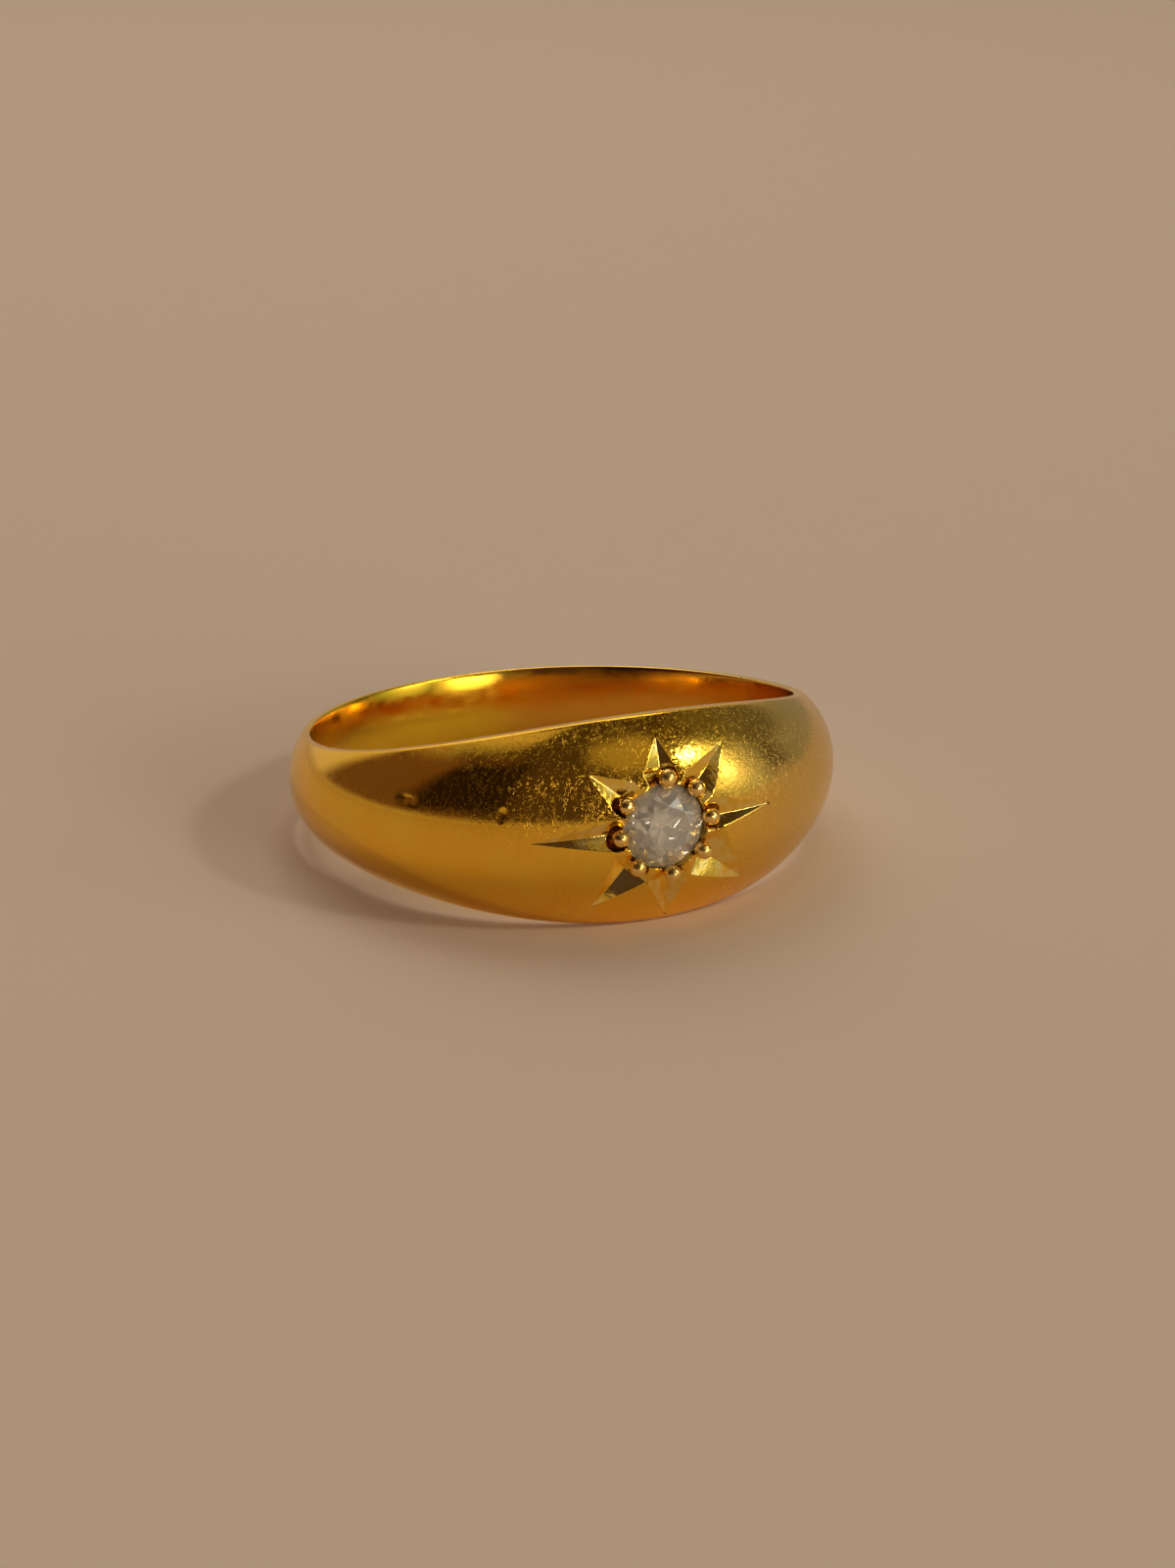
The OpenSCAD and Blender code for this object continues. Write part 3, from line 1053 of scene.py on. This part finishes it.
# The cuts: their patches and the tool's marks in millimetres, how many times higher the patches stand, the
# span of their noise from tone to tone, the tones, paler than the dome's to paint a highlight on the
# walls, and their roughness and their relief in metres
CUT_PATCH = 0.5
CUT_MARK = 0.10
CUT_SWELL = 3.0
CUT_SPAN = (0.4, 0.6)
CUT_PAINTED_HIGHLIGHT_TONES = ((1.0, 0.76, 0.22, 1), (0.98, 0.62, 0.08, 1))
CUT_ROUGHNESS = 0.05
CUT_RELIEF = 0.006 * MM


def bright_cut():
    """The gold of the graver's cuts, which wear hasn't reached, with fine marks of the tool and a paler
    tone that paints a highlight on their walls.
    """
    material, tree, shader = new_material("bright_cut")
    patches = grain(tree, even(CUT_PATCH), detail=3.0)
    height = combine(tree, "MULTIPLY_ADD", patches, CUT_SWELL, grain(tree, even(CUT_MARK)))
    # The paler tones are a painted highlight on the cuts' walls
    tone = mix_colours(tree, between(tree, patches, *CUT_SPAN), *CUT_PAINTED_HIGHLIGHT_TONES)
    dress_gold(tree, shader, tone, CUT_ROUGHNESS, height, CUT_RELIEF)
    return material


# How strongly diamond bends light, and the share of the light that this one lets through its grey haze
DIAMOND_IOR = 2.417
STONE_CLEARNESS = 0.75


def clear_stone(finish):
    """An old diamond, a little grey and hazy."""
    material, _, shader = new_material("old_diamond")
    shader.inputs["Base Color"].default_value = (*finish.stone, 1)
    shader.inputs["Roughness"].default_value = 0.0
    shader.inputs["IOR"].default_value = DIAMOND_IOR
    shader.inputs["Transmission Weight"].default_value = STONE_CLEARNESS
    return material


# How wide the floor is in metres, and how rough
FLOOR_SIZE = 1.6
FLOOR_ROUGHNESS = 0.75


def pale_floor(finish):
    """A plain matt floor."""
    material, _, shader = new_material("pale_floor")
    shader.inputs["Base Color"].default_value = (*finish.floor, 1)
    shader.inputs["Roughness"].default_value = FLOOR_ROUGHNESS
    return material


# The camera's place round the ring, its lens and the nearest that it sees, and what its picture is
# centred on, beside and below the ring's centre
CAMERA_AZIMUTH = math.radians(-20.8)
CAMERA_ELEVATION = math.radians(20.6)
CAMERA_DISTANCE = 0.1093
CAMERA_LENS = 69.66
CAMERA_NEAREST = 0.001
AIM_RIGHT = 1.18 * MM
AIM_DOWN = 0.90 * MM


def toward(azimuth, elevation):
    """The direction from the ring at an azimuth round from the front and a height above the floor."""
    flat = math.cos(elevation)
    return Vector((math.sin(azimuth) * flat, -math.cos(azimuth) * flat, math.sin(elevation)))


def place_camera():
    """Places the camera and aims it a little beside and below the ring's centre."""
    back = toward(CAMERA_AZIMUTH, CAMERA_ELEVATION)
    right = Vector((math.cos(CAMERA_AZIMUTH), math.sin(CAMERA_AZIMUTH), 0))
    up = back.cross(right)
    camera = bpy.data.cameras.new("camera")
    camera.lens = CAMERA_LENS
    camera.clip_start = CAMERA_NEAREST
    holder = bpy.data.objects.new("camera", camera)
    bpy.context.collection.objects.link(holder)
    holder.location = RING_CENTRE + back * CAMERA_DISTANCE
    aim = RING_CENTRE + right * AIM_RIGHT - up * AIM_DOWN
    holder.rotation_euler = (aim - holder.location).to_track_quat("-Z", "Y").to_euler()
    bpy.context.scene.camera = holder


# The lamps: their places round from the front and above the floor in degrees, how far off they are and
# how wide and high in metres, how bright, and their colours
LIGHTS = {
    "fill": (20, 13, 1.0, (0.36, 0.26), 8.5, (1, 0.91, 0.78)),
    "key": (45, 39, 1.0, (0.15, 0.125), 13.0, (1, 0.91, 0.78)),
    "side_key": (56, 21, 1.0, (0.10, 0.16), 3.0, (1, 0.91, 0.78)),
    "spark": (46, 40, 1.0, (0.05, 0.05), 55.0, (1, 0.90, 0.76)),
    "back": (178, 50, 0.4, (0.25, 0.25), 1.1, (1, 0.88, 0.74)),
}


def add_light(name, azimuth, elevation, distance, size, radiance, colour):
    """A soft rectangular light that faces the ring."""
    light = bpy.data.lights.new(name, "AREA")
    light.shape = "RECTANGLE"
    light.size, light.size_y = size
    light.energy = radiance * math.pi * size[0] * size[1]
    light.color = colour
    holder = bpy.data.objects.new(name, light)
    bpy.context.collection.objects.link(holder)
    back = toward(math.radians(azimuth), math.radians(elevation))
    holder.location = RING_CENTRE + back * distance
    holder.rotation_euler = (-back).to_track_quat("-Z", "Y").to_euler()


# What stands round the ring, each over the ones before it: the middle of its place round from the front
# and its half width, its lowest and highest edges, how far they rise for each degree round, the softness
# of its edges, all in degrees, and its light
SURROUNDING_COLUMNS = ("azimuth", "half_width", "low", "high", "slant", "edge", "light")
SURROUNDINGS = {
    "back_left": (-150, 42, -4, 48, 0, 10, (0.58, 0.48, 0.36)),
    "back_right": (148, 34, -4, 48, 0, 10, (0.42, 0.36, 0.27)),
    "back_sky": (176, 50, 50, 68, 0, 8, (0.65, 0.56, 0.44)),
    "left_sheet": (-124, 52, 54, 74, 0.30, 9, (0.52, 0.43, 0.31)),
    "ceiling": (16, 26, 40, 68, 0, 8, (0.30, 0.24, 0.16)),
    "brown_flag": (-104, 42, -30, 51, 0.2, 7, (0.13, 0.065, 0.05)),
    "front_flag": (-27, 27, -30, 50, 0, 6, (0.065, 0.040, 0.035)),
    "dark_flag": (-71, 24, 9, 54, 0.1, 7, (0.016, 0.009, 0.007)),
    "horizon": (0, 181, -99, 4, 0, 3, (0.38, 0.29, 0.20)),
    "side_sheet": (118, 26, -4, 22, 0, 7, (0.24, 0.22, 0.17)),
    "right_flag": (92, 24, 20, 58, 0, 6, (0.105, 0.090, 0.062)),
    "window": (62, 14, 0, 34, 0, 10, (0.46, 0.47, 0.40)),
    "glow": (54, 9, 10, 44, 0, 7, (1.5, 1.45, 1.25)),
    "skylight": (124, 13, 58, 78, 0, 4, (2.6, 2.3, 1.7)),
}
OVERHEAD_LIGHT = (0.055, 0.036, 0.026)


def surround_ring():
    """The light that reaches the ring from all round, as soft cards in front of a dim room."""
    world = bpy.data.worlds.new("surroundings")
    world.use_nodes = True
    tree = world.node_tree
    bearing = add_node(tree, "ShaderNodeSeparateXYZ", {
        "Vector": add_node(tree, "ShaderNodeTexCoord").outputs["Generated"]})
    forward = combine(tree, "MULTIPLY", bearing.outputs["Y"], -1.0)
    azimuth = combine(tree, "ARCTAN2", bearing.outputs["X"], forward)
    elevation = combine(tree, "ARCSINE", bearing.outputs["Z"])
    light = (*OVERHEAD_LIGHT, 1)
    for values in SURROUNDINGS.values():
        card = dict(zip(SURROUNDING_COLUMNS, values))
        edge = math.radians(card["edge"])
        away = combine(tree, "SUBTRACT", azimuth, math.radians(card["azimuth"]))
        away = combine(tree, "WRAP", away, math.pi, -math.pi)
        level = combine(tree, "MULTIPLY_ADD", away, -card["slant"], elevation)
        away = combine(tree, "ABSOLUTE", away)
        half, low, high = [math.radians(card[c]) for c in ("half_width", "low", "high")]
        across = between(tree, away, half + edge, half - edge)
        above = between(tree, level, low - edge, low + edge)
        under = between(tree, level, high + edge, high - edge)
        part = combine(tree, "MULTIPLY", across, combine(tree, "MULTIPLY", above, under))
        light = mix_colours(tree, part, light, (*card["light"], 1))
    background = tree.nodes["Background"]
    tree.links.new(light, background.inputs["Color"])
    bpy.context.scene.world = world


class RING_OT_stage(bpy.types.Operator):
    """Lays the pale floor, and sets the lights, the surroundings and the camera"""

    bl_idname = "ring.stage"
    bl_label = "Stage"

    def execute(self, context):
        finish = context.scene.ring_finish
        bench_only()
        bpy.ops.mesh.primitive_plane_add(size=FLOOR_SIZE)
        floor = newly_made("floor")
        floor.data.materials.append(pale_floor(finish))
        surround_ring()
        for name, lamp in LIGHTS.items():
            add_light(name, *lamp)
        place_camera()
        context.scene.view_settings.view_transform = "Standard"
        return {"FINISHED"}


class RING_PT_panel(bpy.types.Panel):
    """Lists the ring's sizes and colours, and what makes its pieces and the stage"""

    bl_label = "Flush Set Ring"
    bl_idname = "RING_PT_panel"
    bl_space_type = "VIEW_3D"
    bl_region_type = "UI"
    bl_category = "Ring"

    def draw(self, context):
        for name, group in GROUPS.items():
            box = self.layout.box()
            for value in group.__annotations__:
                box.prop(getattr(context.scene, name), value)
        for maker in MAKERS:
            self.layout.operator(maker.bl_idname)


MAKERS = (RING_OT_band, RING_OT_stone, RING_OT_stage)
GROUPS = {
    "ring_shank": ShankSizes,
    "ring_star": StarSizes,
    "ring_stone": StoneSizes,
    "ring_finish": FinishColours,
}


def register():
    """Adds the classes and the scene's sizes and colours."""
    for kind in (*GROUPS.values(), *MAKERS, RING_PT_panel):
        bpy.utils.register_class(kind)
    for name, group in GROUPS.items():
        setattr(bpy.types.Scene, name, PointerProperty(type=group))


def unregister():
    """Takes away what register adds."""
    for name in GROUPS:
        delattr(bpy.types.Scene, name)
    for kind in reversed((*GROUPS.values(), *MAKERS, RING_PT_panel)):
        bpy.utils.unregister_class(kind)


def main():
    """Makes the pieces and the stage."""
    register()
    bpy.ops.ring.band()
    bpy.ops.ring.stone()
    bpy.ops.ring.stage()


if __name__ == "__main__":
    main()
